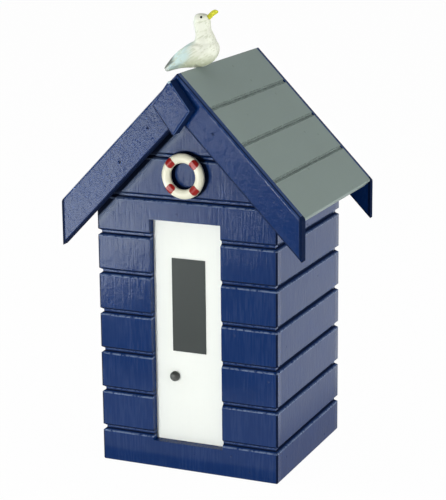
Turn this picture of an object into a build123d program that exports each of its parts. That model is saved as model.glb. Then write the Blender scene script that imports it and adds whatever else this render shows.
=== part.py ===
"""A small painted wooden beach hut, made as an ornament, with a gull on its ridge.

Millimetres, +Z up. The origin is the middle of the base, the front looks along -Y.
"""

import os
from math import cos, degrees, radians, sin, tan

from build123d import *

# Body: a hollow box of boards with grooves run round all four sides
body_width = 80.0
body_depth = 72.4
wall_thickness = 4.0
base_thickness = 4.0
groove_heights = (14.5, 31.6, 48.9, 65.9, 83.1, 99.9, 116.2, 133.6)
groove_width = 2.9
groove_floor = 0.9
groove_depth = 1.35
board_edge_radius = 0.5
corner_radius = 0.7

# Roof: two slabs that meet in a mitre at the ridge, a little off the body's middle
ridge_height = 168.6
ridge_shift = 1.0
roof_pitch = 45.9
roof_run = 52.7
roof_thickness = 4.0
roof_courses = 4
course_groove_width = 1.4
course_groove_depth = 0.6
eave_edge_radius = 0.5
front_overhang = 4.5
back_overhang = 1.2

# Bargeboards on both gables, thinner at the back, and a block over the front apex joint
barge_thickness = 4.0
barge_thickness_back = 2.8
barge_width = 11.7
barge_width_front_left = 13.3
barge_edge_radius = 0.9
barge_edge_radius_front_left = 2.2
barge_heel_radius = 1.8
block_width = 16.2
block_height = 22.2
block_thickness = 5.7
block_drop = 1.6
block_skew = 0.7
block_edge_radius = 0.7

# Doorway: an opening through the front wall with a fixed white door behind it
doorway_width = 31.6
doorway_height = 95.4
doorway_sill = 11.6
doorway_shift = -0.4
door_lap = 3.0
door_thickness = 3.0
window_width = 15.0
window_height = 39.8
window_sill = 50.9
window_shift = -0.6
window_thickness = 0.8
window_inset = 0.5
knob_diameter = 4.2
knob_projection = 2.3
knob_neck_diameter = 2.0
knob_neck_length = 0.5
knob_shank_length = 2.0
knob_shift = -7.2
knob_height = 40.0

# Lifebuoy on the gable: a ring stood off the wall, with four patches on its diagonals
ring_shift = 0.75
ring_height = 126.7
ring_outer_diameter = 18.7
ring_tube_width = 3.9
ring_tube_depth = 3.2
ring_seat = 0.3
ring_standoff = 1.5
mount_width = 1.8
band_thickness = 0.15
band_width = 3.6
band_length = 3.3
band_corner_radius = 0.9
band_reach = 0.5
band_count = 4
band_start = 45.0

# Gull: cast in one with its wings, perched across the ridge and facing the right.
# Its slices give ahead of the ridge, up from the ridge, lean, across, then width and depth
gull_setback = 22.7
gull_trunk = (
    (-14.9, -2.1, 33, 0, 3.2, 1.5),
    (-11.5, 0.7, 33, 0, 5.4, 4.4),
    (-7.5, 2.9, 27, 0, 8.0, 7.2),
    (-3.0, 4.7, 20, 0, 9.8, 10.0),
    (2.0, 6.5, 15, 0, 10.4, 11.2),
    (5.7, 7.3, 8, 0, 8.0, 8.6),
    (7.9, 7.8, 5, 0, 2.2, 2.4),
)
gull_neck = (
    (2.2, 7.5, 95, 0, 8.6, 8.6),
    (2.8, 11.5, 97, 0, 7.4, 7.6),
    (1.7, 14.0, 97, 0, 5.6, 5.8),
    (0.85, 16.5, 92, 0, 5.2, 5.9),
    (0.9, 19.0, 90, 0, 5.4, 6.1),
    (0.9, 20.6, 90, 0, 4.2, 4.6),
    (0.8, 21.4, 90, 0, 1.6, 1.8),
)
gull_wing = (
    (3.6, 8.9, 35, 4.2, 0.9, 2.0),
    (0.6, 7.2, 35, 4.7, 1.8, 6.4),
    (-4.6, 4.6, 33, 4.2, 2.0, 6.6),
    (-10.0, 1.9, 33, 2.5, 1.8, 4.4),
    (-14.4, -0.3, 33, 1.0, 1.1, 2.0),
    (-15.7, -1.0, 33, 0.7, 0.5, 0.8),
)
gull_beak_slices = (
    (2.9, 19.6, 35, 0, 2.4, 2.8),
    (4.7, 20.9, 38, 0, 1.7, 2.2),
    (6.3, 21.9, 22, 0, 1.1, 1.5),
    (7.7, 22.2, -10, 0, 0.5, 0.7),
)
gull_eye_diameter = 1.1
gull_eye_ahead = 1.9
gull_eye_across = 2.3
gull_eye_up = 20.0

slope = tan(radians(roof_pitch))
front_y = -body_depth / 2
back_y = body_depth / 2
roof_front_y = front_y - front_overhang
roof_back_y = back_y + back_overhang
barge_front_y = roof_front_y - barge_thickness
barge_back_y = roof_back_y + barge_thickness_back
roof_plumb = roof_thickness / cos(radians(roof_pitch))
doorway_middle = doorway_sill + doorway_height / 2


def roof_top(x):
    """Height of the roof's upper surface over a place across the hut."""
    return ridge_height - slope * abs(x - ridge_shift)


def roof_underside(x):
    """Height of the roof's lower surface over a place across the hut."""
    return roof_top(x) - roof_plumb


def facade(y):
    """The upright plane at a depth y, seen from the front."""
    return Plane.XZ.offset(-y)


def groove_profile():
    """A groove's section at height nought: outward to the right, with a rounded lip each side."""
    floor, mouth = groove_floor / 2, groove_width / 2
    with BuildSketch() as profile:
        with BuildLine():
            Polyline(
                (-groove_depth, -floor),
                (0, -mouth),
                (0, -groove_width),
                (groove_depth, -groove_width),
                (groove_depth, groove_width),
                (0, groove_width),
                (0, mouth),
                (-groove_depth, floor),
                close=True,
            )
        make_face()
        face_line = profile.vertices().filter_by_position(Axis.X, 0, 0)
        fillet(face_line.sort_by(Axis.Y)[1:-1], board_edge_radius)
    return profile.sketch


def grooves():
    """Everything that is cut away for the grooves in the body's four faces."""
    profile = groove_profile()
    faces = (
        (Vector(0, -1, 0), body_depth, body_width),
        (Vector(0, 1, 0), body_depth, body_width),
        (Vector(-1, 0, 0), body_width, body_depth),
        (Vector(1, 0, 0), body_width, body_depth),
    )
    with BuildPart() as cutters:
        for outward, apart, length in faces:
            across = Plane(outward * (apart / 2), x_dir=outward, z_dir=outward.cross(Vector(0, 0, 1)))
            with BuildSketch(across):
                with Locations(*[(0, height) for height in groove_heights]):
                    add(profile)
            extrude(amount=length / 2 + groove_depth, both=True)
    return cutters.part


def gable_outline():
    """The front and back walls' outline: straight sides under the two slopes."""
    half = body_width / 2
    with BuildSketch() as outline:
        with BuildLine():
            Polyline(
                (-half, 0),
                (half, 0),
                (half, roof_underside(half)),
                (ridge_shift, roof_underside(ridge_shift)),
                (-half, roof_underside(-half)),
                close=True,
            )
        make_face()
    return outline.sketch


def gable_corners(wall, y):
    """A gable wall's two upright corners in its face at y, and its lowest outer edges."""
    face = wall.edges().filter_by_position(Axis.Y, y, y)
    upright = face.filter_by(Axis.Z).sort_by(Axis.X)
    level = face.filter_by(Axis.X).sort_by(Axis.Z)
    ends = wall.edges().filter_by(Axis.Y).sort_by(Axis.Z)
    return [upright[0], upright[-1], level[0], ends[0], ends[1]]


cut_grooves = grooves()

# Front wall, open at the doorway
with BuildPart() as front_wall:
    with BuildSketch(facade(front_y)):
        add(gable_outline())
    extrude(amount=-wall_thickness)
    fillet(gable_corners(front_wall, front_y), corner_radius)
    with BuildSketch(facade(front_y)):
        with Locations((doorway_shift, doorway_middle)):
            Rectangle(doorway_width, doorway_height)
    extrude(amount=-wall_thickness, mode=Mode.SUBTRACT)
    add(cut_grooves, mode=Mode.SUBTRACT)

# Back wall, the same boards with no doorway
with BuildPart() as back_wall:
    with BuildSketch(facade(back_y)):
        add(gable_outline())
    extrude(amount=wall_thickness)
    fillet(gable_corners(back_wall, back_y), corner_radius)
    add(cut_grooves, mode=Mode.SUBTRACT)


def side_wall(side):
    """A side wall between the gable walls, its top bevelled to the roof's slope."""
    outer = side * body_width / 2
    inner = outer - side * wall_thickness
    with BuildPart() as wall:
        with BuildSketch(facade(front_y + wall_thickness)):
            with BuildLine():
                Polyline(
                    (inner, 0),
                    (outer, 0),
                    (outer, roof_underside(outer)),
                    (inner, roof_underside(inner)),
                    close=True,
                )
            make_face()
        extrude(amount=-(body_depth - 2 * wall_thickness))
        outer_edges = wall.edges().filter_by(Axis.Y).filter_by_position(Axis.X, outer, outer)
        fillet(outer_edges.sort_by(Axis.Z)[0], corner_radius)
        add(cut_grooves, mode=Mode.SUBTRACT)
    return wall


left_wall = side_wall(-1)
right_wall = side_wall(1)

# Base board, let in flush between the walls
with BuildPart() as base_board:
    with BuildSketch():
        Rectangle(body_width - 2 * wall_thickness, body_depth - 2 * wall_thickness)
    extrude(amount=base_thickness)

# Door panel, fixed behind the doorway, with a pocket for the window and a knob hole
door_face_y = front_y + wall_thickness
window_middle = window_sill + window_height / 2
with BuildPart() as door_panel:
    with BuildSketch(facade(door_face_y)):
        with Locations((doorway_shift, doorway_middle)):
            Rectangle(doorway_width + 2 * door_lap, doorway_height + 2 * door_lap)
    extrude(amount=-door_thickness)
    with BuildSketch(facade(door_face_y)):
        with Locations((window_shift, window_middle)):
            Rectangle(window_width, window_height)
    extrude(amount=-window_inset, mode=Mode.SUBTRACT)
    with BuildSketch(facade(door_face_y)):
        with Locations((knob_shift, knob_height)):
            Circle(knob_neck_diameter / 2)
    extrude(amount=-knob_shank_length, mode=Mode.SUBTRACT)

# Window, a dark pane let into the door and standing a little proud
with BuildPart() as door_window:
    with BuildSketch(facade(door_face_y + window_inset)):
        with Locations((window_shift, window_middle)):
            Rectangle(window_width, window_height)
    extrude(amount=window_thickness)

# Door knob: a domed head on a short neck, with a shank in the door
with BuildPart() as door_knob:
    with BuildSketch(Plane((knob_shift, door_face_y, knob_height), x_dir=(1, 0, 0), z_dir=(0, 0, 1))):
        with BuildLine():
            neck = knob_neck_diameter / 2
            head = knob_diameter / 2
            rim = -(knob_neck_length + (knob_projection - knob_neck_length) * 0.35)
            Polyline(
                (0, -knob_projection),
                (0, knob_shank_length),
                (neck, knob_shank_length),
                (neck, -knob_neck_length),
                (head, -knob_neck_length),
                (head, rim),
            )
            EllipticalCenterArc((0, rim), head, knob_projection + rim, start_angle=270, arc_size=90)
        make_face()
    revolve(axis=Axis((knob_shift, door_face_y, knob_height), (0, 1, 0)))


def roof_slab(side):
    """One slope of the roof: mitred at the ridge, cut square at the eave, grooved in courses."""
    lean = radians(roof_pitch)
    eave = ridge_shift + side * roof_run
    thick = (side * roof_thickness * sin(lean), roof_thickness * cos(lean))
    with BuildPart() as slab:
        with BuildSketch(facade(roof_front_y)):
            with BuildLine():
                Polyline(
                    (ridge_shift, ridge_height),
                    (eave, roof_top(eave)),
                    (eave - thick[0], roof_top(eave) - thick[1]),
                    (ridge_shift, ridge_height - roof_plumb),
                    close=True,
                )
            make_face()
        extrude(amount=-(roof_back_y - roof_front_y))
        with BuildSketch(facade(roof_front_y)):
            for course in range(1, roof_courses):
                x = eave - side * roof_run * (1 - course / roof_courses)
                with Locations(Location((x, roof_top(x)), -side * roof_pitch)):
                    Rectangle(course_groove_width, 2 * course_groove_depth)
        extrude(amount=-(roof_back_y - roof_front_y), mode=Mode.SUBTRACT)
        eave_edges = slab.edges().filter_by(Axis.Y).filter_by_position(Axis.X, eave, eave)
        fillet(eave_edges, eave_edge_radius)
    return slab


roof_left = roof_slab(-1)
roof_right = roof_slab(1)


def bargeboard(side, width, edge_radius, y, thickness):
    """A board along the rake, its outer face at y, cut plumb at the apex and the tail.

    The thickness is signed: it is added to y to give the inner face.
    """
    lean = radians(roof_pitch)
    plumb = width / cos(lean)
    tail = ridge_shift + side * roof_run
    down_slope = (side * cos(lean), 0, -sin(lean))
    inward = thickness / abs(thickness)
    with BuildPart() as board:
        with BuildSketch(facade(y)):
            with BuildLine():
                Polyline(
                    (ridge_shift, ridge_height),
                    (tail, roof_top(tail)),
                    (tail, roof_top(tail) - plumb),
                    (ridge_shift, ridge_height - plumb),
                    close=True,
                )
            outline = make_face()
            tail_corners = outline.vertices().group_by(Axis.X)[-1 if side > 0 else 0]
            fillet(tail_corners.sort_by(Axis.Y)[-1], barge_heel_radius)
        extrude(amount=-thickness)
        with BuildSketch(Plane((ridge_shift, y, ridge_height), x_dir=(0, inward, 0), z_dir=down_slope)):
            with Locations((abs(thickness) / 2, -inward * side * width / 2)):
                section = Rectangle(abs(thickness), width)
            face_corners = section.vertices().group_by(Axis.X)[0]
            upper, lower = face_corners.sort_by(Axis.Y, reverse=inward * side > 0)
            fillet(upper, barge_edge_radius)
            fillet(lower, edge_radius)
        extrude(amount=2 * roof_run, both=True, mode=Mode.INTERSECT)
    return board


barge_front_left = bargeboard(
    -1, barge_width_front_left, barge_edge_radius_front_left, barge_front_y, barge_thickness
)
barge_front_right = bargeboard(1, barge_width, barge_edge_radius, barge_front_y, barge_thickness)
barge_back_left = bargeboard(-1, barge_width, barge_edge_radius, barge_back_y, -barge_thickness_back)
barge_back_right = bargeboard(1, barge_width, barge_edge_radius, barge_back_y, -barge_thickness_back)

# Lozenge over the front apex joint, cut a little out of true
block_middle = ridge_height - block_drop - block_height / 2
with BuildPart() as apex_block:
    with BuildSketch(facade(barge_front_y)):
        with BuildLine():
            Polyline(
                (ridge_shift - block_skew, block_middle + block_height / 2),
                (ridge_shift + block_width / 2, block_middle - block_skew),
                (ridge_shift + block_skew, block_middle - block_height / 2),
                (ridge_shift - block_width / 2, block_middle + block_skew),
                close=True,
            )
        make_face()
    extrude(amount=block_thickness)
    fillet(apex_block.edges().filter_by(Axis.Y), block_edge_radius)
    fillet(apex_block.faces().sort_by(Axis.Y)[0].edges(), block_edge_radius)

# Lifebuoy: a ring of oval tube on a thin mount, with patches laid over the tube's front
ring_radius = (ring_outer_diameter - ring_tube_width) / 2
seat_y = front_y - ring_standoff
ring_centre = (ring_shift, seat_y + ring_seat - ring_tube_depth / 2, ring_height)
ring_axis = Axis(ring_centre, (0, 1, 0))

with BuildPart() as lifebuoy_mount:
    with BuildSketch(facade(front_y)):
        with Locations((ring_shift, ring_height)):
            Circle(ring_radius + mount_width / 2)
            Circle(ring_radius - mount_width / 2, mode=Mode.SUBTRACT)
    extrude(amount=ring_standoff)


def ring_section(angle):
    """The plane through the ring's axis at an angle round the ring, its tube's middle at the origin."""
    outward = Vector(cos(radians(angle)), 0, sin(radians(angle)))
    onward = Vector(-sin(radians(angle)), 0, cos(radians(angle)))
    return Plane(Vector(ring_centre) + outward * ring_radius, x_dir=outward, z_dir=onward)


with BuildPart() as lifebuoy_ring:
    with BuildSketch(ring_section(0)):
        Ellipse(ring_tube_width / 2, ring_tube_depth / 2)
        with Locations((0, ring_tube_depth / 2 - ring_seat)):
            Rectangle(ring_tube_width, ring_tube_depth, align=(Align.CENTER, Align.MIN), mode=Mode.SUBTRACT)
    revolve(axis=ring_axis)


def lifebuoy_band(angle):
    """A thin patch with rounded corners over the front of the tube, at an angle round the ring."""
    arc = 2 * degrees(band_length / ring_radius)
    middle = (
        ring_shift + ring_radius * cos(radians(angle)),
        ring_height + ring_radius * sin(radians(angle)),
    )
    with BuildPart() as band:
        with BuildSketch(ring_section(angle - arc / 2)):
            Ellipse(ring_tube_width / 2 + band_thickness, ring_tube_depth / 2 + band_thickness)
            Ellipse(ring_tube_width / 2, ring_tube_depth / 2, mode=Mode.SUBTRACT)
        revolve(axis=ring_axis, revolution_arc=-arc)
        with BuildSketch(facade(ring_centre[1] + band_reach)):
            with Locations(Location(middle, angle)):
                RectangleRounded(band_width, band_length, band_corner_radius)
        extrude(amount=ring_tube_depth, mode=Mode.INTERSECT)
    return band


bands = [lifebuoy_band(band_start + 360 / band_count * number) for number in range(band_count)]

# Gull, built in its own upright plane: ahead, across, and up from the ridge
gull_home = Plane((ridge_shift, barge_front_y + gull_setback, ridge_height))


def gull_slice(ahead, up, lean, across):
    """A plane across the gull, square to a line that leans up from level by an angle."""
    place = gull_home.from_local_coords(Vector(ahead, across, up))
    along = Vector(cos(radians(lean)), 0, sin(radians(lean)))
    return Plane(place, x_dir=gull_home.y_dir, z_dir=along)


def gull_form(slices, side=1):
    """A smooth form through oval slices, on one side of the gull."""
    sections = []
    for ahead, up, lean, across, width, depth in slices:
        with BuildSketch(gull_slice(ahead, up, lean, side * across)) as section:
            Ellipse(width / 2, depth / 2)
        sections.append(section.sketch.face())
    loft(sections)


with BuildPart() as gull_body:
    gull_form(gull_trunk)
    gull_form(gull_neck)
    gull_form(gull_wing, 1)
    gull_form(gull_wing, -1)
    with BuildSketch(facade(front_y)):
        with BuildLine():
            Polyline(
                (ridge_shift, ridge_height),
                (ridge_shift + roof_run, roof_top(ridge_shift + roof_run)),
                (ridge_shift - roof_run, roof_top(ridge_shift - roof_run)),
                close=True,
            )
        make_face()
    extrude(amount=-body_depth, mode=Mode.SUBTRACT)

with BuildPart() as gull_beak:
    gull_form(gull_beak_slices)
    add(gull_body.part, mode=Mode.SUBTRACT)


def gull_eye(side):
    """A round bead of an eye, let into one side of the head."""
    place = gull_home.from_local_coords(Vector(gull_eye_ahead, side * gull_eye_across, gull_eye_up))
    with BuildPart() as eye:
        with Locations(place):
            Sphere(gull_eye_diameter / 2)
        add(gull_body.part, mode=Mode.SUBTRACT)
    return eye


gull_eye_left = gull_eye(1)
gull_eye_right = gull_eye(-1)

parts = {
    "front_wall": front_wall,
    "back_wall": back_wall,
    "left_wall": left_wall,
    "right_wall": right_wall,
    "base_board": base_board,
    "door_panel": door_panel,
    "door_window": door_window,
    "door_knob": door_knob,
    "roof_left": roof_left,
    "roof_right": roof_right,
    "barge_front_left": barge_front_left,
    "barge_front_right": barge_front_right,
    "barge_back_left": barge_back_left,
    "barge_back_right": barge_back_right,
    "apex_block": apex_block,
    "lifebuoy_mount": lifebuoy_mount,
    "lifebuoy_ring": lifebuoy_ring,
    "gull_body": gull_body,
    "gull_beak": gull_beak,
    "gull_eye_left": gull_eye_left,
    "gull_eye_right": gull_eye_right,
}
for number, band in enumerate(bands, start=1):
    parts[f"lifebuoy_band_{number}"] = band

os.makedirs("parts", exist_ok=True)
for name, piece in parts.items():
    piece.part.label = name
    export_step(piece.part, f"parts/{name}.step")
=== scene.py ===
"""Dresses a small painted wooden beach hut ornament: gloss paint, door, lifebuoy and gull."""

import math

import bpy
from bpy.props import FloatProperty, FloatVectorProperty, PointerProperty
from bpy.types import Operator, Panel, PropertyGroup
from mathutils import Matrix, Vector


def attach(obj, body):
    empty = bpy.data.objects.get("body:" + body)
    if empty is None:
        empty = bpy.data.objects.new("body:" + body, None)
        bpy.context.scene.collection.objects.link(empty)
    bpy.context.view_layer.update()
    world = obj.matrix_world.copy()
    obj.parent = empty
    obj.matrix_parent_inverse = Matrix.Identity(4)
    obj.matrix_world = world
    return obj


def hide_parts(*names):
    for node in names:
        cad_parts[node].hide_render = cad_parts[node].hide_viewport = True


bl_info = {
    "name": "Beach Hut Ornament",
    "version": (1, 0, 0),
    "blender": (4, 5, 0),
    "location": "View3D > Sidebar > Beach Hut",
    "description": "Finishes a painted wooden beach hut ornament and sets its stage",
    "category": "Object",
}

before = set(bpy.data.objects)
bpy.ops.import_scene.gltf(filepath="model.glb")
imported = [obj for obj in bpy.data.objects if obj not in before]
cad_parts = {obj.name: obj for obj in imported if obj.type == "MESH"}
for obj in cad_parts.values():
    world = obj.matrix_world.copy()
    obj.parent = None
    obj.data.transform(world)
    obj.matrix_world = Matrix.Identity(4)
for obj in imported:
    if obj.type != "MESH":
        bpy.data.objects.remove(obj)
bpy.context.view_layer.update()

MM = 0.001
GABLE_WALLS = ("front_wall", "back_wall")
SIDE_WALLS = ("left_wall", "right_wall", "base_board")
NARROW_BOARDS = ("barge_front_right", "barge_back_left", "barge_back_right")

# Heights of the grooves between the boards, and how far the walls' corners are from the
# middle, across and in depth, in millimetres
GROOVES = (14.5, 31.6, 48.9, 65.9, 83.1, 99.9, 116.2, 133.6)
CORNER = (40.0, 36.2)

# Painted light and shade beside a groove, up from its middle: dark lines of painted shade, the
# lower lip's painted highlight and the crown's weaker one
GROOVE_LINES = (1.3, -0.55)
GROOVE_LIP = -1.45
GROOVE_CROWN = 0.35
CROWN_SHARE = 0.5

# The boards along the rake: apex, pitch in degrees, tails, widths, and faces at front and back
APEX = (1.0, 168.6)
PITCH = 45.9
TAIL = 52.7
BARGE_WIDTH = 11.7
WIDE_BARGE_WIDTH = 13.3
BARGE_FACES = (-44.7, 40.2)
ROOF_COURSES = 4

# The apex block: its front face, its painted highlight across, back and up from the apex, and its
# lower left edge, as the shares of across and up that add up to one length all along it
BLOCK_FACE = -50.4
BLOCK_HIGHLIGHT = (-0.7, 0.4, -2.2)
BLOCK_EDGE = (0.802, 0.598, 87.95)

# The lifebuoy's middle on the gable, across and up, and its ring's radius
LIFEBUOY = (0.75, 126.7, 7.4)

# Fades on the walls: where each mask starts and where it is full, in millimetres
RECESS_FADE = (1.1, 0.6)
LINE_FADE = (0.4, 0.15)
LIP_FADE = (0.45, 0.15)
CROWN_FADE = (0.3, 0.1)
CORNER_FADE = (0.9, 0.5)
EAVES_SHADOW_FADE = (14.5, 13.9)
SHEEN_BELOW_EAVES_FADE = (18.5, 14.6)
RING_SHADOW_FADE = (2.8, 2.3)
FRONT_FADE = (0.0, -1.0)

# Fades on the boards along the rake. A stripe has its middle first
EDGE_STRIPE = (0.6, 0.6, 0.2)
TOP_FADE = (0.35, 0.1)
TOP_STRIPE = (1.0, 0.8, 0.3)
TAIL_FADE = (-1.4, -0.9)
UNDERSIDE_FADE = (-0.5, -0.1)
SET_BACK_FADE = (1.2, 1.8)
LOWER_FADE = (-1.0, -0.5)
EDGE_SHADE_FADE = (-0.75, -0.35)
EDGE_SHADE_SHARE = 0.8
TOP_LIGHT = 0.2

# Fades on the apex block and on the roof
BLOCK_SIDE_FADE = (0.5, 0.9)
BLOCK_STRIPE = (0.35, 0.3, 0.1)
BLOCK_RIGHT_FADE = (1.4, 2.2)
BLOCK_EDGE_FADE = (0.9, 0.4)
BLOCK_HIGHLIGHT_FADE = (1.1, 0.5)
COURSE_STRIPE = (0.5, 0.3, 0.1)
COURSE_FADE = (0.4, 0.2)

# Uneven patches, which break up the painted highlights on lips and rake edges, the roof's painted
# shade lines and the gull's brush strokes: their scale per metre, detail, and the noise's values
# where they start and are full
LIP_HIGHLIGHT_BREAKS = (700.0, 3.0, 0.32, 0.58)
RAKE_HIGHLIGHT_BREAKS = (300.0, 3.0, 0.38, 0.62)
ROOF_LINE_BREAKS = (500.0, 2.0, 0.3, 0.6)
STROKE_WEAR = (1300.0, 2.0, 0.5, 0.66)

# Scales per metre of slow changes of tone, of the gull's brushwork and of its feathers
TONE_SCALE = 45.0
BRUSH_SCALE = 420.0
FEATHER_SCALE = 900.0

# Sprayed paint: scales of its waves and pits against its dimples, a pit's reach, and heights
WAVE_SCALE = 0.3
PIT_SCALE = 0.2
PIT_REACH = (0.09, 0.05)
WAVE_HEIGHT = 1.5
PIT_HEIGHT = -2.0

# Grain: scale of its patches against its streaks, the detail of each and the noise's values
# where it starts and is full, and the least strength between patches
PATCH_SCALE = 0.07
STREAK_WEAR = (2.0, 0.4, 0.64)
PATCH_WEAR = (1.0, 0.35, 0.6)
PATCH_LEAST = 0.4

# What streaks, pits, dark lines and slow changes of tone do to the paint, and the peel above
# which pits show
STREAK_SHARE = 0.11
PIT_PEEL = 0.3
PIT_TONE = 0.3
PIT_ROUGHNESS = 0.5
DARK_ROUGHNESS = 0.8
TONE_ROUGHNESS = 0.1

# The point of the ridge under the gull: across, in depth and up, in millimetres
GULL_HOME = (1.0, -22.0, 168.6)

# Slices through the gull: ahead, up, lean, across, width and depth, in millimetres and degrees
TRUNK = (
    (-15.3, -2.5, 28, 0, 1.6, 1.0),
    (-14.4, -1.8, 28, 0, 3.6, 2.1),
    (-12.2, -0.4, 30, 0, 5.4, 3.4),
    (-9.6, 1.2, 31, 0, 7.4, 5.2),
    (-6.7, 2.8, 29, 0, 9.4, 8.0),
    (-3.4, 4.0, 26, 0, 11.0, 10.4),
    (0.0, 5.2, 21, 0, 11.6, 11.4),
    (3.2, 6.5, 15, 0, 11.0, 11.0),
    (5.9, 7.3, 9, 0, 8.8, 9.2),
    (7.7, 7.8, 6, 0, 5.4, 5.6),
    (8.4, 8.0, 6, 0, 2.2, 2.4),
)
NECK = (
    (1.6, 6.6, 84, 0, 7.0, 7.0),
    (2.4, 9.2, 92, 0, 9.0, 10.6),
    (2.6, 11.4, 96, 0, 7.6, 8.6),
    (2.1, 13.2, 102, 0, 6.6, 7.2),
    (1.6, 15.0, 98, 0, 6.2, 6.8),
    (1.3, 17.0, 92, 0, 6.4, 7.2),
    (1.2, 19.0, 90, 0, 6.4, 7.5),
    (1.2, 20.6, 88, 0, 5.0, 6.0),
    (1.1, 21.4, 88, 0, 2.2, 2.8),
)
WING = (
    (3.4, 8.0, 30, 3.9, 0.8, 1.6),
    (2.0, 7.6, 32, 4.5, 1.6, 4.2),
    (-0.6, 6.5, 34, 4.9, 2.2, 6.4),
    (-4.2, 4.9, 33, 4.7, 2.4, 6.8),
    (-7.8, 3.0, 32, 3.9, 2.2, 5.4),
    (-11.2, 1.0, 32, 2.7, 1.9, 3.4),
    (-13.8, -0.6, 33, 1.6, 1.4, 1.8),
    (-15.5, -1.6, 33, 0.9, 0.7, 0.8),
)
BEAK = (
    (3.0, 18.8, 50, 0, 2.4, 2.0),
    (4.4, 20.0, 48, 0, 2.1, 2.0),
    (5.7, 21.4, 40, 0, 1.8, 2.1),
    (6.8, 22.1, 16, 0, 1.5, 2.2),
    (7.8, 22.1, -14, 0, 1.0, 1.6),
    (8.3, 21.9, -40, 0, 0.4, 0.7),
)

# Corners of each slice, and the fineness of the gull's finished form in millimetres
SLICE_CORNERS = 20
GULL_VOXEL = 0.26

# The gull's paint: its least roughness and what brushwork adds, the brushwork's values where the
# olive painted shade shows, how far it stirs the borders in millimetres, and the contact shadow's
# share
PLUMAGE_ROUGHNESS = 0.45
BRUSH_ROUGHNESS = 0.2
BRUSH_RISE = (0.25, 0.5)
STIR = 2.4
CONTACT_SHADOW_SHARE = 0.65

# The back's slope, and where each colour of the gull starts and is full, in millimetres ahead,
# up, over the back's slope or below the top of the roof. The belly's olive is painted shade, and
# the dark where the gull meets the roof is a painted contact shadow
BACK_SLOPE = -0.62
WASH_OVER = (3.2, 6.8)
WASH_AHEAD = (0.5, -4.5)
PALE_AHEAD = (-12.0, -14.0)
BELLY_UP = (7.5, 1.0)
TIP_AHEAD = (-8.5, -11.5)
TIP_OVER = (7.6, 8.1)
CONTACT_SHADOW_BELOW = (-1.6, -0.4)
BEAK_ROOT = (6.8, 3.8)

# Brush strokes on the gull: their lean in degrees and their length against their width
STROKE_LEAN = -32
STROKE_LENGTH = 7

# The lamps: name, setting, degrees round the hut and above level, distance and size in metres
LAMPS = (
    ("Key", "key", -12, -0.5, 1.0, 0.1),
    ("Right", "right", 84, -3, 0.9, 0.3),
    ("Left", "left", -78, 12, 0.9, 0.4),
    ("Top", "top", 20, 80, 1.0, 1.2),
)

# The cards on the floor: name, setting, middle and size in metres, and their height above it
CARDS = (
    ("Front sheen", "sheen_front", (-0.265, -0.283), (0.19, 0.42)),
    ("High sheen", "sheen_high", (-0.426, -0.766), (0.284, 0.554)),
    ("Low sheen", "sheen_low", (-0.03, -0.09), (0.16, 0.09)),
    ("Side sheen", "sheen_side", (0.253, 0.455), (0.386, 0.9)),
)
CARD_HEIGHT = 0.002

# The share of the floor that is plain white where it is seen, and the background's fall from
# white: the sines of the heights where it starts and ends, and how far it falls. Then the
# camera's sensor in millimetres
FLOOR_WHITE = 0.98
SKY_FADE = (0.14, 0.36)
SKY_FALL = 0.85
SENSOR_WIDTH = 36

# Kinds of sockets on the node groups
VECTOR = "NodeSocketVector"
FLOAT = "NodeSocketFloat"


def colour_property(name, description, default):
    """A colour that the sidebar shows, in linear values."""
    return FloatVectorProperty(
        name=name, description=description, default=default, subtype="COLOR", size=3, min=0, max=1
    )


def length_property(name, description, default):
    """A length that the sidebar shows, in metres."""
    return FloatProperty(
        name=name,
        description=description,
        default=default,
        subtype="DISTANCE",
        unit="LENGTH",
        precision=5,
    )


def angle_property(name, description, degrees):
    """An angle that the sidebar shows."""
    return FloatProperty(
        name=name,
        description=description,
        default=math.radians(degrees),
        subtype="ANGLE",
        unit="ROTATION",
    )


def power_property(name, description, watts):
    """A lamp's power that the sidebar shows."""
    return FloatProperty(name=name, description=description, default=watts, min=0, unit="POWER")


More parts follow.
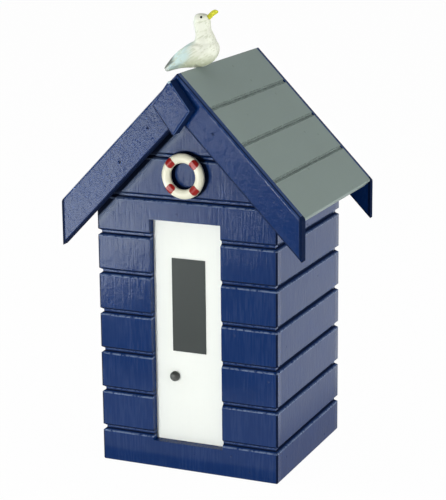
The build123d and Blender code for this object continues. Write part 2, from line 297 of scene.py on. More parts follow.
class HutColours(PropertyGroup):
    """Colours of the paints, the small parts and the stage."""

    navy: colour_property("Navy", "Gloss paint on the walls and boards", (0.0012, 0.0188, 0.094))
    # Pale blue for the painted highlights on lips, edges and the apex block, the painted sheen on
    # the rake's top faces, and the grain's streaks
    highlight_and_grain: colour_property("Highlight and grain", "Pale blue of painted highlights and sheen, and of the grain's streaks", (0.13, 0.18, 0.29))
    # Painted sheen: a paler grey-blue laid on the gable just below the left bargeboard
    sheen_below_eaves: colour_property("Faded", "Paler paint below the left eaves, a painted sheen", (0.12, 0.155, 0.2))
    block_highlight: colour_property("Block highlight", "Painted highlight at the top of the apex block", (0.45, 0.6, 0.65))
    roof: colour_property("Roof", "Grey paint on the roof slabs", (0.19, 0.235, 0.218))
    door: colour_property("Door", "White paint on the door", (0.81, 0.84, 0.79))
    window: colour_property("Window", "Dark pane in the door", (0.045, 0.052, 0.05))
    knob: colour_property("Knob", "Dark metal of the knob", (0.03, 0.032, 0.029))
    ring: colour_property("Ring", "White of the lifebuoy", (0.69, 0.68, 0.54))
    band: colour_property("Bands", "Red of the lifebuoy's patches", (0.24, 0.009, 0.007))
    plumage: colour_property("Plumage", "White of the gull's head and breast", (0.68, 0.7, 0.6))
    wash: colour_property("Wash", "Pale blue wash on the back and the wings", (0.47, 0.6, 0.58))
    # Olive for the painted shade low on the gull's body, and for its brush strokes
    belly: colour_property("Belly", "Olive painted shade low on the body, and the brush strokes", (0.45, 0.48, 0.34))
    # Dark grey of the wing tips, also laid as a painted contact shadow where the gull meets the
    # roof
    tip_and_contact_shadow: colour_property("Wing tips and contact shadow", "Dark grey of the wing tips and the painted contact shadow", (0.07, 0.08, 0.07))
    pale_tip: colour_property("Pale tip", "Pale grey below the wing tips", (0.5, 0.55, 0.52))
    beak: colour_property("Beak", "Yellow of the beak", (0.52, 0.52, 0.04))
    eye: colour_property("Eye", "Black of the eyes", (0.004, 0.004, 0.004))
    floor: colour_property("Floor", "Pale floor under the hut", (0.9, 0.9, 0.9))
    card: colour_property("Cards", "Light of the cards that only gloss shows", (0.95, 1, 0.98))


class HutTextures(PropertyGroup):
    """Sizes of the paint's and the wood's surface detail."""

    peel_size: length_property("Peel size", "Width of one dimple in the sprayed paint", 0.0016)
    peel_depth: length_property("Peel depth", "Depth of the dimples in the sprayed paint", 0.00007)
    grain_width: length_property("Grain width", "Width of one streak of the grain", 0.00075)
    grain_depth: length_property("Grain depth", "Depth of the grain under the paint", 0.00004)


class HutStage(PropertyGroup):
    """The camera, the lamps and the floor."""

    azimuth: angle_property("Azimuth", "Camera's angle round the hut from its front", 23.678)
    elevation: angle_property("Elevation", "Camera's angle above level", 14.158)
    roll: angle_property("Roll", "Camera's turn about its own line of sight", -0.562)
    distance: length_property("Distance", "From the camera to the point it looks at", 0.7391)
    target_side: length_property(
        "Target side", "Point looked at, to the right of the middle", 0.000714
    )
    target_height: length_property("Target height", "Point looked at, above the floor", 0.0872)
    lens: FloatProperty(
        name="Lens", description="Focal length in millimetres", default=125.17, min=1
    )
    key: power_property("Key", "Small lamp low in front, a little to the left", 6.0)
    right: power_property("Right", "Lamp low at the right", 9.0)
    left: power_property("Left", "Broad lamp at the left", 3.0)
    top: power_property("Top", "Broad lamp overhead", 3.5)
    sheen_front: power_property("Front sheen", "Card that only the front's gloss shows", 6.0)
    sheen_high: power_property("High sheen", "Card that only the gable's gloss shows", 11.1)
    sheen_low: power_property("Low sheen", "Card that only the lowest boards' gloss shows", 0.09)
    sheen_side: power_property("Side sheen", "Card that only the right side's gloss shows", 1.26)
    fill: FloatProperty(
        name="Fill", description="Strength of the light from all round", default=0.25, min=0
    )
    floor_size: length_property("Floor size", "Length of the floor's sides", 4.0)


def wire(tree, socket, value):
    """Sets a socket, or wires it where the value is itself a socket."""
    if isinstance(value, bpy.types.NodeSocket):
        tree.links.new(value, socket)
    elif socket.type == "RGBA" and len(value) == 3:
        socket.default_value = (*value, 1)
    else:
        socket.default_value = value


def add_node(tree, kind, **inputs):
    """A node with its sockets set or wired, named by their labels with underscores for spaces."""
    node = tree.nodes.new(kind)
    for label, value in inputs.items():
        wire(tree, node.inputs[label.replace("_", " ")], value)
    return node


def calculate(tree, operation, *values):
    """A Math node over values or sockets, giving its result's socket."""
    node = tree.nodes.new("ShaderNodeMath")
    node.operation = operation
    for socket, value in zip(node.inputs, values):
        wire(tree, socket, value)
    return node.outputs[0]


def multiply(tree, first, second):
    """The product of two values or sockets."""
    return calculate(tree, "MULTIPLY", first, second)


def largest(tree, first, *others):
    """The largest of some values or sockets."""
    for value in others:
        first = calculate(tree, "MAXIMUM", first, value)
    return first


def ramp(tree, value, start, end):
    """A smooth rise from nought at start to one at end."""
    node = tree.nodes.new("ShaderNodeMapRange")
    node.interpolation_type = "SMOOTHSTEP"
    wire(tree, node.inputs["Value"], value)
    wire(tree, node.inputs["From Min"], start)
    wire(tree, node.inputs["From Max"], end)
    return node.outputs[0]


def fade(tree, length, start, end):
    """A smooth rise over a length, from nought at start to one at end, both in millimetres."""
    return ramp(tree, length, start * MM, end * MM)


def stripe(tree, length, middle, outer, inner):
    """One near a middle and nought away from it, with its reaches, all in millimetres."""
    off = calculate(tree, "ABSOLUTE", calculate(tree, "SUBTRACT", length, middle * MM))
    return fade(tree, off, outer, inner)


def mix(tree, factor, first, second):
    """A colour between two others."""
    node = tree.nodes.new("ShaderNodeMix")
    node.data_type = "RGBA"
    wire(tree, node.inputs[0], factor)
    wire(tree, node.inputs[6], first)
    wire(tree, node.inputs[7], second)
    return node.outputs[2]


def cover(tree, base, mask, colour, strength=1.0):
    """Paint with a colour laid over it through a mask, at a strength."""
    if strength < 1:
        mask = multiply(tree, mask, strength)
    return mix(tree, mask, base, colour)


def toned(colour, share):
    """A colour made darker or lighter by a share."""
    return tuple(value * share for value in colour)


def noise(tree, place, scale, detail):
    """A noise texture's value at a place."""
    node = add_node(tree, "ShaderNodeTexNoise", Vector=place, Scale=scale, Detail=detail)
    return node.outputs[0]


def patchy(tree, place, scale, detail, start, end):
    """Uneven patches: one where the noise is past end, nought where it is short of start."""
    return ramp(tree, noise(tree, place, scale, detail), start, end)


def split(tree, place):
    """A place's sockets across, in depth and up."""
    return tuple(add_node(tree, "ShaderNodeSeparateXYZ", Vector=place).outputs)


def combine(tree, operation, first, second):
    """A Vector Math node over two places."""
    node = tree.nodes.new("ShaderNodeVectorMath")
    node.operation = operation
    wire(tree, node.inputs[0], first)
    wire(tree, node.inputs[1], second)
    return node.outputs


def new_group(name, inputs, outputs):
    """A shader node group with its named sockets, its input node and its output node."""
    group = bpy.data.node_groups.new(name, "ShaderNodeTree")
    for label, kind in inputs:
        group.interface.new_socket(name=label, in_out="INPUT", socket_type=kind)
    for label in outputs:
        group.interface.new_socket(name=label, in_out="OUTPUT", socket_type=FLOAT)
    given = group.nodes.new("NodeGroupInput").outputs
    return group, given, group.nodes.new("NodeGroupOutput").inputs


def group_node(tree, group, **inputs):
    """A placed node group's outputs, with its sockets set or wired."""
    node = tree.nodes.new("ShaderNodeGroup")
    node.node_tree = group
    for label, value in inputs.items():
        wire(tree, node.inputs[label], value)
    return node.outputs


def peel_group():
    """Sprayed paint: small dimples over slow waves, and here and there a pit."""
    if "Paint peel" in bpy.data.node_groups:
        return bpy.data.node_groups["Paint peel"]
    sockets = [("Coordinates", VECTOR), ("Size", FLOAT)]
    group, given, result = new_group("Paint peel", sockets, ("Height", "Pits"))
    place = given["Coordinates"]
    scale = calculate(group, "DIVIDE", 1.0, given["Size"])
    dimples = noise(group, place, scale, detail=2.0)
    waves = noise(group, place, multiply(group, scale, WAVE_SCALE), detail=1.0)
    sparse = multiply(group, scale, PIT_SCALE)
    cells = add_node(group, "ShaderNodeTexVoronoi", Vector=place, Scale=sparse)
    pits = ramp(group, cells.outputs["Distance"], *PIT_REACH)
    height = calculate(group, "MULTIPLY_ADD", waves, WAVE_HEIGHT, dimples)
    height = calculate(group, "MULTIPLY_ADD", pits, PIT_HEIGHT, height)
    group.links.new(height, result["Height"])
    group.links.new(pits, result["Pits"])
    return group


def grain_group():
    """Wood grain under paint: long uneven streaks along one direction, in patches."""
    if "Grain" in bpy.data.node_groups:
        return bpy.data.node_groups["Grain"]
    sockets = [("Coordinates", VECTOR), ("Width", FLOAT), ("Stretch", VECTOR)]
    group, given, result = new_group("Grain", sockets, ("Streaks",))
    place = given["Coordinates"]
    scale = calculate(group, "DIVIDE", 1.0, given["Width"])
    drawn = combine(group, "MULTIPLY", place, given["Stretch"])
    fine = patchy(group, drawn[0], scale, *STREAK_WEAR)
    patches = patchy(group, place, multiply(group, scale, PATCH_SCALE), *PATCH_WEAR)
    strength = calculate(group, "MULTIPLY_ADD", patches, 1 - PATCH_LEAST, PATCH_LEAST)
    streaks = multiply(group, fine, strength)
    group.links.new(streaks, result["Streaks"])
    return group


def nearest(tree, value, places):
    """The distance in metres from a value to the nearest of some places in millimetres."""
    gap = 1.0
    for place in places:
        off = calculate(tree, "ABSOLUTE", calculate(tree, "SUBTRACT", value, place * MM))
        gap = calculate(tree, "MINIMUM", off, gap)
    return gap


def below_rake(tree, across, up):
    """How far out from the apex a place is, and how deep below the rake's top, in metres."""
    out = calculate(tree, "ABSOLUTE", calculate(tree, "SUBTRACT", across, APEX[0] * MM))
    rise = calculate(tree, "SUBTRACT", up, APEX[1] * MM)
    lean = math.radians(PITCH)
    depth = multiply(tree, rise, -math.cos(lean))
    return out, calculate(tree, "MULTIPLY_ADD", out, -math.sin(lean), depth)


def left_half(tree, across):
    """One to the left of the ridge and nought to its right."""
    return fade(tree, across, APEX[0], APEX[0] - 1.0)


def board_group():
    """Masks for a wall's boards: painted shade in grooves and corners, painted highlights on lips,
    painted shadow below the eaves and around the lifebuoy, and a paler painted sheen below the
    eaves.
    """
    if "Boards" in bpy.data.node_groups:
        return bpy.data.node_groups["Boards"]
    labels = ("Recess", "Lines", "Lip", "Corner", "Eaves", "Faded")
    group, given, result = new_group("Boards", [("Coordinates", VECTOR)], labels)
    place = given["Coordinates"]
    across, depth, up = split(group, place)
    # Painted shade in the grooves: all through them on the side walls, as two fine dark lines at
    # their edges on the gables
    inside = nearest(group, up, GROOVES)
    group.links.new(fade(group, inside, *RECESS_FADE), result["Recess"])
    line = nearest(group, up, [height + off for height in GROOVES for off in GROOVE_LINES])
    group.links.new(fade(group, line, *LINE_FADE), result["Lines"])
    # Painted highlight along each groove's lower lip, and a weaker one on its crown, broken up
    # unevenly
    lip = nearest(group, up, [height + GROOVE_LIP for height in GROOVES])
    crown = nearest(group, up, [height + GROOVE_CROWN for height in GROOVES])
    lip, crown = fade(group, lip, *LIP_FADE), fade(group, crown, *CROWN_FADE)
    lip = calculate(group, "MULTIPLY_ADD", crown, CROWN_SHARE, lip)
    lip = multiply(group, lip, patchy(group, place, *LIP_HIGHLIGHT_BREAKS))
    group.links.new(lip, result["Lip"])
    # Painted dark reflection along the walls' rounded upright corners
    corners = [
        fade(
            group,
            calculate(group, "SUBTRACT", reach * MM, calculate(group, "ABSOLUTE", value)),
            *CORNER_FADE,
        )
        for reach, value in zip(CORNER, (across, depth))
    ]
    group.links.new(multiply(group, *corners), result["Corner"])
    # Painted shadow on the gable below the left bargeboard, and in a ring around the lifebuoy
    below = below_rake(group, across, up)[1]
    left = left_half(group, across)
    eaves = multiply(group, fade(group, below, *EAVES_SHADOW_FADE), left)
    flat = add_node(group, "ShaderNodeCombineXYZ", X=across, Z=up).outputs[0]
    middle = (LIFEBUOY[0] * MM, 0, LIFEBUOY[1] * MM)
    ring = combine(group, "DISTANCE", flat, middle)["Value"]
    ring = stripe(group, ring, LIFEBUOY[2], *RING_SHADOW_FADE)
    ring = multiply(group, ring, fade(group, depth, *FRONT_FADE))
    group.links.new(largest(group, eaves, ring), result["Eaves"])
    # Painted sheen: the gable made paler just below the left bargeboard
    sheen_below_eaves_mask = multiply(group, fade(group, below, *SHEEN_BELOW_EAVES_FADE), left)
    group.links.new(sheen_below_eaves_mask, result["Faded"])
    return group


def rake_group():
    """Masks for the boards along the rake: painted highlights on the edges, a paler top face for
    painted sheen with a line of painted shade, and a dark tail end with painted shade below.
    """
    if "Rake" in bpy.data.node_groups:
        return bpy.data.node_groups["Rake"]
    sockets = [("Coordinates", VECTOR), ("Width", FLOAT)]
    group, given, result = new_group("Rake", sockets, ("Edges", "Top", "Line", "End"))
    place = given["Coordinates"]
    across, depth, up = split(group, place)
    out, below = below_rake(group, across, up)
    behind = calculate(group, "SUBTRACT", depth, BARGE_FACES[0] * MM)
    before = calculate(group, "SUBTRACT", BARGE_FACES[1] * MM, depth)
    inward = calculate(group, "MINIMUM", behind, before)
    # Painted highlight along the edges, broken up unevenly
    edges = stripe(group, below, *EDGE_STRIPE)
    edges = multiply(group, edges, patchy(group, place, *RAKE_HIGHLIGHT_BREAKS))
    group.links.new(edges, result["Edges"])
    # Painted sheen on the top face, with a line of painted shade along it
    top = fade(group, below, *TOP_FADE)
    group.links.new(top, result["Top"])
    line = multiply(group, stripe(group, inward, *TOP_STRIPE), top)
    group.links.new(line, result["Line"])
    # A dark tail end, with painted shade on the underside, along the left board's lower edge and
    # as a thin line at every lower edge
    tail = fade(group, out, *(TAIL + off for off in TAIL_FADE))
    short = calculate(group, "SUBTRACT", below, given["Width"])
    set_back = fade(group, inward, *SET_BACK_FADE)
    underside = multiply(group, fade(group, short, *UNDERSIDE_FADE), set_back)
    lower = multiply(group, fade(group, short, *LOWER_FADE), left_half(group, across))
    edge_shade_line = multiply(group, fade(group, short, *EDGE_SHADE_FADE), EDGE_SHADE_SHARE)
    group.links.new(largest(group, tail, underside, lower, edge_shade_line), result["End"])
    return group


def new_material(name):
    """An empty node material with its tree and its Principled shader."""
    material = bpy.data.materials.new(name)
    material.use_nodes = True
    return material, material.node_tree, material.node_tree.nodes["Principled BSDF"]


def object_place(tree):
    """The place on the object, in metres."""
    return tree.nodes.new("ShaderNodeTexCoord").outputs["Object"]


def relief(tree, shader, heights):
    """Wires heights, each a socket and a depth in metres, into the shader's normal."""
    total = 0.0
    for socket, depth in heights:
        total = calculate(tree, "MULTIPLY_ADD", socket, depth, total)
    bump = add_node(tree, "ShaderNodeBump", Height=total, Distance=1.0, Strength=1.0)
    tree.links.new(bump.outputs[0], shader.inputs["Normal"])


def shade_boards(tree, place, base, colour, gable):
    """Painted shade in grooves and corners and painted highlights on the lips, with painted
    shadows and a paler painted sheen on a gable's wall.
    """
    colours = bpy.context.scene.hut_colours
    masks = group_node(tree, board_group(), Coordinates=place)
    dark = largest(tree, masks["Lines" if gable else "Recess"], masks["Corner"])
    if gable:
        dark = largest(tree, dark, masks["Eaves"])
        # Painted sheen below the left eaves
        base = cover(tree, base, masks["Faded"], colours.sheen_below_eaves, strength=0.4)
    # Painted shade in the grooves and corners and, on a gable, the painted shadows
    base = cover(tree, base, dark, toned(colour, share=0.2), strength=0.95)
    # Painted highlight on the grooves' lips
    return cover(tree, base, masks["Lip"], colours.highlight_and_grain, strength=0.85), dark


def shade_rake(tree, place, base, colour, width):
    """Painted highlights on the edges, a paler top face for painted sheen with its line of painted
    shade, and a dark end with painted shade below, on a rake's board.
    """
    colours = bpy.context.scene.hut_colours
    masks = group_node(tree, rake_group(), Coordinates=place, Width=width * MM)
    # Painted sheen: the top face paler
    pairs = zip(toned(colour, 1 - TOP_LIGHT), toned(colours.highlight_and_grain, TOP_LIGHT))
    pale = tuple(own + light for own, light in pairs)
    base = cover(tree, base, masks["Edges"], colours.highlight_and_grain, strength=0.22)
    base = cover(tree, base, masks["Top"], pale)
    dark = largest(tree, masks["Line"], masks["End"])
    return cover(tree, base, dark, toned(colour, share=0.25), strength=0.9), dark


def shade_block(tree, place, base, colour, front):
    """Painted shade on the sides and lower left edge, painted highlights at the right front edge
    and top corner.
    """
    colours = bpy.context.scene.hut_colours
    across, depth, up = split(tree, place)
    behind = calculate(tree, "SUBTRACT", depth, front * MM)
    # Painted shade on the block's sides
    sides = fade(tree, behind, *BLOCK_SIDE_FADE)
    base = cover(tree, base, sides, toned(colour, share=0.33), strength=0.9)
    # Painted highlight along the front edge at the right
    right = fade(tree, across, *BLOCK_RIGHT_FADE)
    lit = multiply(tree, stripe(tree, behind, *BLOCK_STRIPE), right)
    base = cover(tree, base, lit, colours.highlight_and_grain, strength=0.4)
    # Painted shade along the lower left edge
    inside = calculate(tree, "MULTIPLY_ADD", up, BLOCK_EDGE[1], -BLOCK_EDGE[2] * MM)
    inside = calculate(tree, "MULTIPLY_ADD", across, BLOCK_EDGE[0], inside)
    unlit = fade(tree, inside, *BLOCK_EDGE_FADE)
    base = cover(tree, base, unlit, toned(colour, share=0.3))
    # Painted highlight: a pale spot at the block's top corner
    corner = Vector((APEX[0], front, APEX[1])) + Vector(BLOCK_HIGHLIGHT)
    block_highlight = fade(tree, combine(tree, "DISTANCE", place, corner * MM)["Value"], *BLOCK_HIGHLIGHT_FADE)
    base = cover(tree, base, block_highlight, colours.block_highlight, strength=0.8)
    return base, largest(tree, sides, unlit)


def shade_roof(tree, place, base, colour, courses):
    """Painted shade as a fine dark line down each edge of the grooves between the roof's courses,
    and a painted highlight along each groove's middle.
    """
    across, depth, up = split(tree, place)
    out = below_rake(tree, across, up)[0]
    gap = nearest(tree, out, [TAIL * course / courses for course in range(1, courses)])
    # Painted shade lines along the grooves' edges, broken up unevenly, and a painted highlight in
    # their middle
    line = multiply(tree, stripe(tree, gap, *COURSE_STRIPE), patchy(tree, place, *ROOF_LINE_BREAKS))
    middle = fade(tree, gap, *COURSE_FADE)
    base = cover(tree, base, middle, toned(colour, share=1.6), strength=0.5)
    return cover(tree, base, line, toned(colour, share=0.4), strength=0.55), line


def shade_beak(tree, place, base, colour, reach):
    """Olive paint at the root of the beak."""
    across = split(tree, place)[0]
    root = fade(tree, across, *(GULL_HOME[0] + ahead for ahead in reach))
    return cover(tree, base, root, toned(colour, share=0.6), strength=0.7), root


def painted(
    name,
    colour,
    roughness,
    specular,
    stretch=(1, 1, 1),
    grain=0.0,
    peel=1.0,
    variation=0.1,
    edges=None,
):
    """Paint over wood: grain and dimples in it, slow changes of tone, and shaded edges."""
    textures = bpy.context.scene.hut_textures
    highlight_and_grain = bpy.context.scene.hut_colours.highlight_and_grain
    material, tree, shader = new_material(name)
    place = object_place(tree)
    dimples = group_node(tree, peel_group(), Coordinates=place, Size=textures.peel_size)
    streaks = group_node(
        tree, grain_group(), Coordinates=place, Width=textures.grain_width, Stretch=stretch
    )["Streaks"]
    tone = noise(tree, place, TONE_SCALE, detail=4.0)
    pale = tuple(min(1.0, value) for value in toned(colour, 1 + variation))
    base = mix(tree, tone, toned(colour, 1 - variation), pale)
    base = cover(tree, base, streaks, highlight_and_grain, strength=STREAK_SHARE * min(1.0, grain))
    pits = multiply(tree, dimples["Pits"], min(1.0, max(0.0, peel - PIT_PEEL)))
    base = cover(tree, base, pits, toned(colour, PIT_TONE))
    even = roughness - TONE_ROUGHNESS / 2
    rough = calculate(tree, "MULTIPLY_ADD", tone, TONE_ROUGHNESS, even)
    rough = calculate(tree, "MULTIPLY_ADD", pits, PIT_ROUGHNESS, rough)
    if edges:
        shade, value = edges
        base, dark = shade(tree, place, base, colour, value)
        rough = calculate(tree, "MULTIPLY_ADD", dark, DARK_ROUGHNESS, rough)
    tree.links.new(base, shader.inputs["Base Color"])
    tree.links.new(rough, shader.inputs["Roughness"])
    shader.inputs["Specular IOR Level"].default_value = specular
    peeled = (dimples["Height"], peel * textures.peel_depth)
    relief(tree, shader, (peeled, (streaks, -grain * textures.grain_depth)))
    return material


def dress(names, material):
    """Gives CAD nodes their finished material."""
    for name in names:
        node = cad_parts[name]
        if not node.material_slots:
            node.data.materials.append(material)
        for slot in node.material_slots:
            slot.material = material


def start_form(name):
    """An empty mesh object in edit mode."""
    bpy.ops.object.select_all(action="DESELECT")
    bpy.ops.mesh.primitive_circle_add(vertices=3, radius=MM)
    form = bpy.context.object
    form.name = name
    bpy.ops.object.mode_set(mode="EDIT")
    bpy.ops.mesh.select_all(action="SELECT")
    bpy.ops.mesh.delete(type="VERT")
    return form


def add_loft(slices, side=1):
    """A closed form through oval slices, in the mesh that is being edited."""
    bpy.ops.mesh.select_all(action="DESELECT")
    bpy.ops.mesh.hide(unselected=True)
    for ahead, up, lean, across, width, depth in slices:
        place = (Vector(GULL_HOME) + Vector((ahead, side * across, up))) * MM
        turn = math.radians(lean - 90)
        bpy.ops.mesh.select_all(action="DESELECT")
        bpy.ops.mesh.primitive_circle_add(vertices=SLICE_CORNERS, radius=MM, location=place)
        bpy.ops.transform.resize(value=(depth / 2, width / 2, 1), center_override=place)
        bpy.ops.transform.rotate(value=turn, orient_axis="Y", center_override=place)
    bpy.ops.mesh.select_all(action="SELECT")
    bpy.ops.mesh.bridge_edge_loops()
    bpy.ops.mesh.select_all(action="DESELECT")
    bpy.ops.mesh.select_non_manifold()
    bpy.ops.mesh.fill_holes(sides=0)
    bpy.ops.mesh.reveal(select=False)


def apply_modifier(kind, **settings):
    """Adds a modifier to the active object, sets it and applies it."""
    bpy.ops.object.modifier_add(type=kind)
    modifier = bpy.context.object.modifiers[-1]
    for label, value in settings.items():
        setattr(modifier, label, value)
    bpy.ops.object.modifier_apply(modifier=modifier.name)


def finish_form(form, material, replaced):
    """Cleans a finished form, gives it its material, parents it to the root body and hides the CAD
    nodes it replaces.
    """
    bpy.ops.object.mode_set(mode="EDIT")
    bpy.ops.mesh.select_all(action="SELECT")
    bpy.ops.mesh.remove_doubles(threshold=MM * 0.001)
    bpy.ops.mesh.normals_make_consistent(inside=False)
    bpy.ops.object.mode_set(mode="OBJECT")
    bpy.ops.object.transform_apply(location=True, rotation=True, scale=True)
    bpy.ops.object.shade_smooth()
    form.data.materials.clear()
    form.data.materials.append(material)
    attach(form, "root")
    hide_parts(*replaced)


class HUT_OT_paint_walls(Operator):
    """Paint the walls, the bargeboards and the apex block navy"""

    bl_idname = "hut.paint_walls"
    bl_label = "Paint Walls and Boards"

    def execute(self, context):
        navy = context.scene.hut_colours.navy
        upright, short = (1, 1, 0.08), (1, 1, 0.3)
        gable, side = (shade_boards, True), (shade_boards, False)
        narrow, wide = (shade_rake, BARGE_WIDTH), (shade_rake, WIDE_BARGE_WIDTH)
        block = (shade_block, BLOCK_FACE)
        for names, title, roughness, specular, stretch, grain, peel, edges in (
            (GABLE_WALLS, "Navy gable paint", 0.17, 0.09, upright, 0.5, 0.5, gable),
            (SIDE_WALLS, "Navy side paint", 0.32, 0.08, upright, 0.35, 0.6, side),
            (NARROW_BOARDS, "Navy board paint", 0.17, 0.066, short, 0.2, 1.1, narrow),
            (("barge_front_left",), "Navy wide board paint", 0.17, 0.088, short, 0.1, 1.2, wide),
            (("apex_block",), "Navy block paint", 0.17, 0.086, short, 0.1, 1.2, block),
        ):
            paint = painted(
                title, navy, roughness, specular, stretch, grain=grain, peel=peel, edges=edges
            )
            dress(names, paint)
        # Painted shade: the lifebuoy's mount is painted dark navy to stand for the shadow behind
        # the ring
        mount = painted("Dark mount paint", toned(navy, share=0.2), roughness=0.8, specular=0.04)
        dress(("lifebuoy_mount",), mount)
        return {"FINISHED"}


class HUT_OT_paint_roof(Operator):
    """Paint the roof slabs grey"""

    bl_idname = "hut.paint_roof"
    bl_label = "Paint Roof"

    def execute(self, context):
        colour = context.scene.hut_colours.roof
        material = painted(
            "Grey roof paint",
            colour,
            roughness=0.55,
            specular=0.1,
            stretch=(1, 0.08, 1),
            grain=0.25,
            peel=0.5,
            variation=0.05,
            edges=(shade_roof, ROOF_COURSES),
        )
        dress(("roof_left", "roof_right"), material)
        return {"FINISHED"}


class HUT_OT_dress_door(Operator):
    """Paint the door, its pane and its knob"""

    bl_idname = "hut.dress_door"
    bl_label = "Dress Door"

    def execute(self, context):
        colours = context.scene.hut_colours
        door = painted(
            "White door paint",
            colours.door,
            roughness=0.5,
            specular=0.08,
            stretch=(1, 1, 0.05),
            grain=0.1,
            peel=0.3,
            variation=0.02,
        )
        pane = painted(
            "Dark pane", colours.window, roughness=0.4, specular=0.06, peel=0.3, variation=0.06
        )
        knob = painted("Dark knob", colours.knob, roughness=0.3, specular=0.3, variation=0.3)
        dress(("door_panel",), door)
        dress(("door_window",), pane)
        dress(("door_knob",), knob)
        return {"FINISHED"}


class HUT_OT_dress_lifebuoy(Operator):
    """Paint the lifebuoy's ring white and its patches red"""

    bl_idname = "hut.dress_lifebuoy"
    bl_label = "Dress Lifebuoy"

    def execute(self, context):
        colours = context.scene.hut_colours
        white = painted(
            "Lifebuoy white", colours.ring, roughness=0.35, specular=0.15, peel=0.3, variation=0.05
        )
        red = painted(
            "Lifebuoy red", colours.band, roughness=0.25, specular=0.12, peel=0.8, variation=0.3
        )
        dress(("lifebuoy_ring",), white)
        dress([f"lifebuoy_band_{number}" for number in range(1, 5)], red)
        return {"FINISHED"}


class HUT_OT_model_gull(Operator):
    """Model the gull's body with its folded wings, and its beak"""

    bl_idname = "hut.model_gull"
    bl_label = "Model Gull"

    def execute(self, context):
        colours = context.scene.hut_colours
        body = start_form("gull")
        add_loft(TRUNK)
        add_loft(NECK)
        add_loft(WING, side=1)
        add_loft(WING, side=-1)
        bpy.ops.object.mode_set(mode="OBJECT")
        apply_modifier("SUBSURF", levels=2)
        apply_modifier("REMESH", mode="VOXEL", voxel_size=GULL_VOXEL * MM)
        apply_modifier("SMOOTH", factor=0.5, iterations=12)
        finish_form(body, self.plumage(colours), ("gull_body",))
        beak = start_form("beak")
        add_loft(BEAK)
        bpy.ops.object.mode_set(mode="OBJECT")
        apply_modifier("SUBSURF", levels=2)
        yellow = painted(
            "Beak",
            colours.beak,
            roughness=0.5,
            specular=0.1,
            peel=0.3,
            variation=0.12,
            edges=(shade_beak, BEAK_ROOT),
        )
        finish_form(beak, yellow, ("gull_beak",))
        eye = painted("Eye", colours.eye, roughness=0.15, specular=0.1, peel=0.0)
        dress(("gull_eye_left", "gull_eye_right"), eye)
        return {"FINISHED"}

    def plumage(self, colours):
        """Hand-painted resin: white, blue over the back and dark at the tips, with olive painted
        shade low down and a painted contact shadow on the roof.
        """
        material, tree, shader = new_material("Plumage")
        place = object_place(tree)
        across, depth, height = split(tree, place)
        ahead = calculate(tree, "ADD", across, -GULL_HOME[0] * MM)
        up = calculate(tree, "ADD", height, -GULL_HOME[2] * MM)
        over = calculate(tree, "MULTIPLY_ADD", ahead, BACK_SLOPE, up)
        brush = noise(tree, place, BRUSH_SCALE, detail=3.0)
        stir = calculate(tree, "MULTIPLY_ADD", brush, STIR * MM, -STIR / 2 * MM)
        ahead_stirred, up_stirred, over_stirred = (
            calculate(tree, "ADD", length, stir) for length in (ahead, up, over)
        )
        wash = fade(tree, over_stirred, *WASH_OVER)
        wash = multiply(tree, wash, fade(tree, ahead_stirred, *WASH_AHEAD))
        # Painted shade: olive low on the body, broken up by the brushwork
        low = multiply(tree, fade(tree, up_stirred, *BELLY_UP), ramp(tree, brush, *BRUSH_RISE))
        tip_and_contact_shadow = multiply(tree, fade(tree, ahead, *TIP_AHEAD), fade(tree, over, *TIP_OVER))
        # Painted contact shadow where the gull meets the roof, in the tips' dark grey
        contact_shadow = fade(tree, below_rake(tree, across, height)[1], *CONTACT_SHADOW_BELOW)
        tip_and_contact_shadow = largest(tree, tip_and_contact_shadow, multiply(tree, contact_shadow, CONTACT_SHADOW_SHARE))
        strokes = self.strokes(tree, place)
        colour = cover(tree, colours.plumage, low, colours.belly)
        colour = cover(tree, colour, wash, colours.wash)
        colour = cover(tree, colour, fade(tree, ahead, *PALE_AHEAD), colours.pale_tip)
        colour = cover(tree, colour, strokes, colours.belly, strength=0.55)
        colour = cover(tree, colour, tip_and_contact_shadow, colours.tip_and_contact_shadow, strength=0.9)
        rough = calculate(tree, "MULTIPLY_ADD", brush, BRUSH_ROUGHNESS, PLUMAGE_ROUGHNESS)
        tree.links.new(colour, shader.inputs["Base Color"])
        tree.links.new(rough, shader.inputs["Roughness"])
        shader.inputs["Specular IOR Level"].default_value = 0.1
        feathers = noise(tree, place, FEATHER_SCALE, detail=2.0)
        peel = bpy.context.scene.hut_textures.peel_depth
        relief(tree, shader, ((feathers, 2 * peel), (strokes, -peel)))
        return material

    def strokes(self, tree, place):
        """Long strokes of a brush, leaning along the wings."""
        drawn = add_node(
            tree,
            "ShaderNodeMapping",
            Vector=place,
            Rotation=(0, math.radians(STROKE_LEAN), 0),
            Scale=(STROKE_LENGTH, 1, 1),
        )
        drawn.vector_type = "TEXTURE"
        return patchy(tree, drawn.outputs[0], *STROKE_WEAR)


def seen_ray(tree):
    """One for rays that come from the camera, a reflection or a transmission."""
    path = tree.nodes.new("ShaderNodeLightPath").outputs
    kinds = ("Is Camera Ray", "Is Glossy Ray", "Is Transmission Ray")
    return largest(tree, *(path[kind] for kind in kinds))


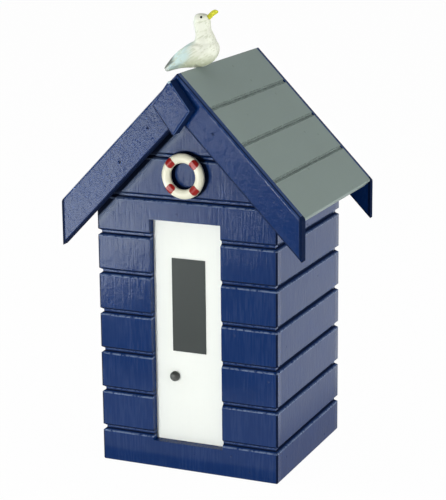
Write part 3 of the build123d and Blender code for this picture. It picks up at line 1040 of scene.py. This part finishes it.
class HUT_OT_set_stage(Operator):
    """Set the floor, the lamps, the background and the camera"""

    bl_idname = "hut.set_stage"
    bl_label = "Set Stage"

    def execute(self, context):
        stage = context.scene.hut_stage
        target = Vector((stage.target_side, 0, stage.target_height))
        self.lay_floor(context, stage)
        self.light_background(context, stage)
        for name, setting, *place in LAMPS:
            self.hang_lamp(context, name, getattr(stage, setting), target, *place)
        for name, setting, *place in CARDS:
            self.lay_card(context, name, getattr(stage, setting), *place)
        self.stand_camera(context, stage, target)
        return {"FINISHED"}

    def lay_floor(self, context, stage):
        """A plain pale floor that keeps the hut's shadow."""
        bpy.ops.object.select_all(action="DESELECT")
        bpy.ops.mesh.primitive_plane_add(size=stage.floor_size)
        floor = context.object
        floor.name = "floor"
        material, tree, shader = new_material("Pale floor")
        shader.inputs["Base Color"].default_value = (*context.scene.hut_colours.floor, 1)
        shader.inputs["Roughness"].default_value = 0.9
        shader.inputs["Specular IOR Level"].default_value = 0.1
        glow = add_node(tree, "ShaderNodeEmission", Strength=1.0)
        blend = tree.nodes.new("ShaderNodeMixShader")
        tree.links.new(multiply(tree, seen_ray(tree), FLOOR_WHITE), blend.inputs[0])
        tree.links.new(shader.outputs[0], blend.inputs[1])
        tree.links.new(glow.outputs[0], blend.inputs[2])
        tree.links.new(blend.outputs[0], tree.nodes["Material Output"].inputs["Surface"])
        floor.data.materials.append(material)

    def light_background(self, context, stage):
        """White where it is seen, and a soft light from all round."""
        world = bpy.data.worlds.new("Studio")
        context.scene.world = world
        world.use_nodes = True
        tree = world.node_tree
        background = tree.nodes["Background"]
        background.inputs["Color"].default_value = (1, 1, 1, 1)
        toward = tree.nodes.new("ShaderNodeNewGeometry").outputs["Incoming"]
        rise = multiply(tree, split(tree, toward)[2], -1.0)
        seen = calculate(tree, "MULTIPLY_ADD", ramp(tree, rise, *SKY_FADE), -SKY_FALL, 1.0)
        level = calculate(tree, "SUBTRACT", seen, stage.fill)
        level = calculate(tree, "MULTIPLY_ADD", seen_ray(tree), level, stage.fill)
        tree.links.new(level, background.inputs["Strength"])

    def add_lamp(self, context, name, power, size):
        """A soft lamp that the camera does not see."""
        data = bpy.data.lights.new(name, "AREA")
        data.shape = "RECTANGLE"
        data.size, data.size_y = size
        data.energy = power
        lamp = bpy.data.objects.new(name, data)
        lamp.visible_camera = False
        context.scene.collection.objects.link(lamp)
        return lamp

    def hang_lamp(self, context, name, power, target, azimuth, elevation, distance, size):
        """A lamp at an angle round the hut and above level, facing it."""
        lamp = self.add_lamp(context, name, power, (size, size))
        turn, rise = math.radians(azimuth), math.radians(elevation)
        away = Vector(
            (math.sin(turn) * math.cos(rise), -math.cos(turn) * math.cos(rise), math.sin(rise))
        )
        lamp.location = target + away * distance
        lamp.rotation_euler = away.to_track_quat("Z", "Y").to_euler()

    def lay_card(self, context, name, power, place, size):
        """A bright card just above the floor, which only gloss shows."""
        card = self.add_lamp(context, name, power, size)
        card.location = (*place, CARD_HEIGHT)
        card.rotation_euler = (math.pi, 0, 0)
        card.data.color = context.scene.hut_colours.card
        card.visible_diffuse = False

    def stand_camera(self, context, stage, target):
        """The photograph's view: its angle round the hut, its height and its small roll."""
        level = math.cos(stage.elevation)
        away = Vector(
            (
                math.sin(stage.azimuth) * level,
                -math.cos(stage.azimuth) * level,
                math.sin(stage.elevation),
            )
        )
        level_right = (-away).cross(Vector((0, 0, 1))).normalized()
        level_up = away.cross(level_right)
        right = level_right * math.cos(stage.roll) + level_up * math.sin(stage.roll)
        up = level_up * math.cos(stage.roll) - level_right * math.sin(stage.roll)
        data = bpy.data.cameras.new("Camera")
        data.lens = stage.lens
        data.sensor_width = SENSOR_WIDTH
        camera = bpy.data.objects.new("Camera", data)
        turn = Matrix((right, up, away)).transposed().to_4x4()
        camera.matrix_world = Matrix.Translation(target + away * stage.distance) @ turn
        context.scene.collection.objects.link(camera)
        context.scene.camera = camera
        context.scene.view_settings.view_transform = "Standard"


STEPS = ("paint_walls", "paint_roof", "dress_door", "dress_lifebuoy", "model_gull", "set_stage")


class HUT_PT_panel(Panel):
    """Lists the steps that finish the hut"""

    bl_idname = "HUT_PT_panel"
    bl_label = "Beach Hut"
    bl_space_type = "VIEW_3D"
    bl_region_type = "UI"
    bl_category = "Beach Hut"

    def draw(self, context):
        for step in STEPS:
            self.layout.operator(f"hut.{step}")


CLASSES = (
    HutColours,
    HutTextures,
    HutStage,
    HUT_OT_paint_walls,
    HUT_OT_paint_roof,
    HUT_OT_dress_door,
    HUT_OT_dress_lifebuoy,
    HUT_OT_model_gull,
    HUT_OT_set_stage,
    HUT_PT_panel,
)


def register():
    """Adds the classes and their settings to the scene."""
    for item in CLASSES:
        bpy.utils.register_class(item)
    bpy.types.Scene.hut_colours = PointerProperty(type=HutColours)
    bpy.types.Scene.hut_textures = PointerProperty(type=HutTextures)
    bpy.types.Scene.hut_stage = PointerProperty(type=HutStage)


def unregister():
    """Takes the classes and their settings away again."""
    del bpy.types.Scene.hut_stage
    del bpy.types.Scene.hut_textures
    del bpy.types.Scene.hut_colours
    for item in reversed(CLASSES):
        bpy.utils.unregister_class(item)


def main():
    """Runs every step in order."""
    register()
    for step in STEPS:
        getattr(bpy.ops.hut, step)()


if __name__ == "__main__":
    main()
